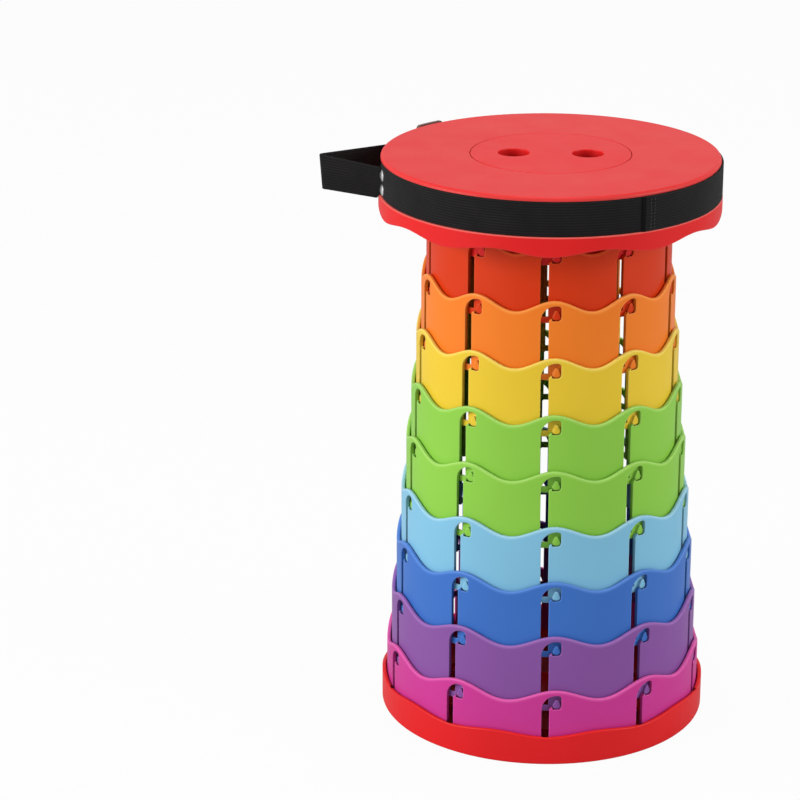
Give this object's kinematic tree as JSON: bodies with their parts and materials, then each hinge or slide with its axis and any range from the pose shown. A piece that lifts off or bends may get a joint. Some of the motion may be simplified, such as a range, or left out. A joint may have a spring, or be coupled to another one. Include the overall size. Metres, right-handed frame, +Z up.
{
  "type": "collapsible telescopic stool",
  "caption": "Round stool on a telescopic leg of nested wavy-edged rings with hooked lock slots; the seat has a capped centre, finger holes and a webbing carry strap.",
  "frame": {"origin": "on the floor, on the axis of the rings", "axes": "+Z up along the axis, -Y the front that faces the viewer, +X to the viewer's right, the carry loop on the -X side"},
  "size_m": [0.2936, 0.2514, 0.4327],
  "materials": {
    "red_plastic": "satin",
    "rust_red": "satin",
    "orange": "satin",
    "yellow": "satin",
    "green": "satin",
    "light_blue": "satin",
    "blue": "satin",
    "purple": "satin",
    "magenta": "satin",
    "black_webbing": "woven",
    "rivet_metal": "bright",
    "screw_steel": "satin",
    "slider_plastic": "satin"
  },
  "bodies": {
    "base": {"base_tray": "red_plastic", "ring_9": "magenta"},
    "ring_8": {"ring_8": "purple"},
    "ring_7": {"ring_7": "blue"},
    "ring_6": {"ring_6": "light_blue"},
    "ring_5": {"ring_5": "green"},
    "ring_4": {"ring_4": "green"},
    "ring_3": {"ring_3": "yellow"},
    "ring_2": {"ring_2": "orange"},
    "ring_1": {"ring_1": "rust_red"},
    "seat": {"seat_frame": "red_plastic", "seat_top": "red_plastic", "seat_screws": "screw_steel", "strap_band": "black_webbing", "strap_lap": "black_webbing", "handle_loop": "black_webbing", "handle_rivets": "rivet_metal", "strap_slider": "slider_plastic"},
    "cap": {"seat_cap": "red_plastic"}
  },
  "joints": [
    {"name": "ring_8_slide", "type": "slide", "parent": "base", "child": "ring_8", "axis": [0, 0, -1], "range_m": [0, 0.03765]},
    {"name": "ring_7_slide", "type": "slide", "parent": "ring_8", "child": "ring_7", "axis": [0, 0, -1], "range_m": [0, 0.0416]},
    {"name": "ring_6_slide", "type": "slide", "parent": "ring_7", "child": "ring_6", "axis": [0, 0, -1], "range_m": [0, 0.0416]},
    {"name": "ring_5_slide", "type": "slide", "parent": "ring_6", "child": "ring_5", "axis": [0, 0, -1], "range_m": [0, 0.0416]},
    {"name": "ring_4_slide", "type": "slide", "parent": "ring_5", "child": "ring_4", "axis": [0, 0, -1], "range_m": [0, 0.0416]},
    {"name": "ring_3_slide", "type": "slide", "parent": "ring_4", "child": "ring_3", "axis": [0, 0, -1], "range_m": [0, 0.0416]},
    {"name": "ring_2_slide", "type": "slide", "parent": "ring_3", "child": "ring_2", "axis": [0, 0, -1], "range_m": [0, 0.0416]},
    {"name": "ring_1_slide", "type": "slide", "parent": "ring_2", "child": "ring_1", "axis": [0, 0, -1], "range_m": [0, 0.0416]},
    {"name": "seat_slide", "type": "slide", "parent": "ring_1", "child": "seat", "axis": [0, 0, -1], "range_m": [0, 0.0383]},
    {"name": "cap_lift", "type": "slide", "parent": "seat", "child": "cap", "axis": [0, 0, 1], "range_m": [0, 0.03]}
  ]
}
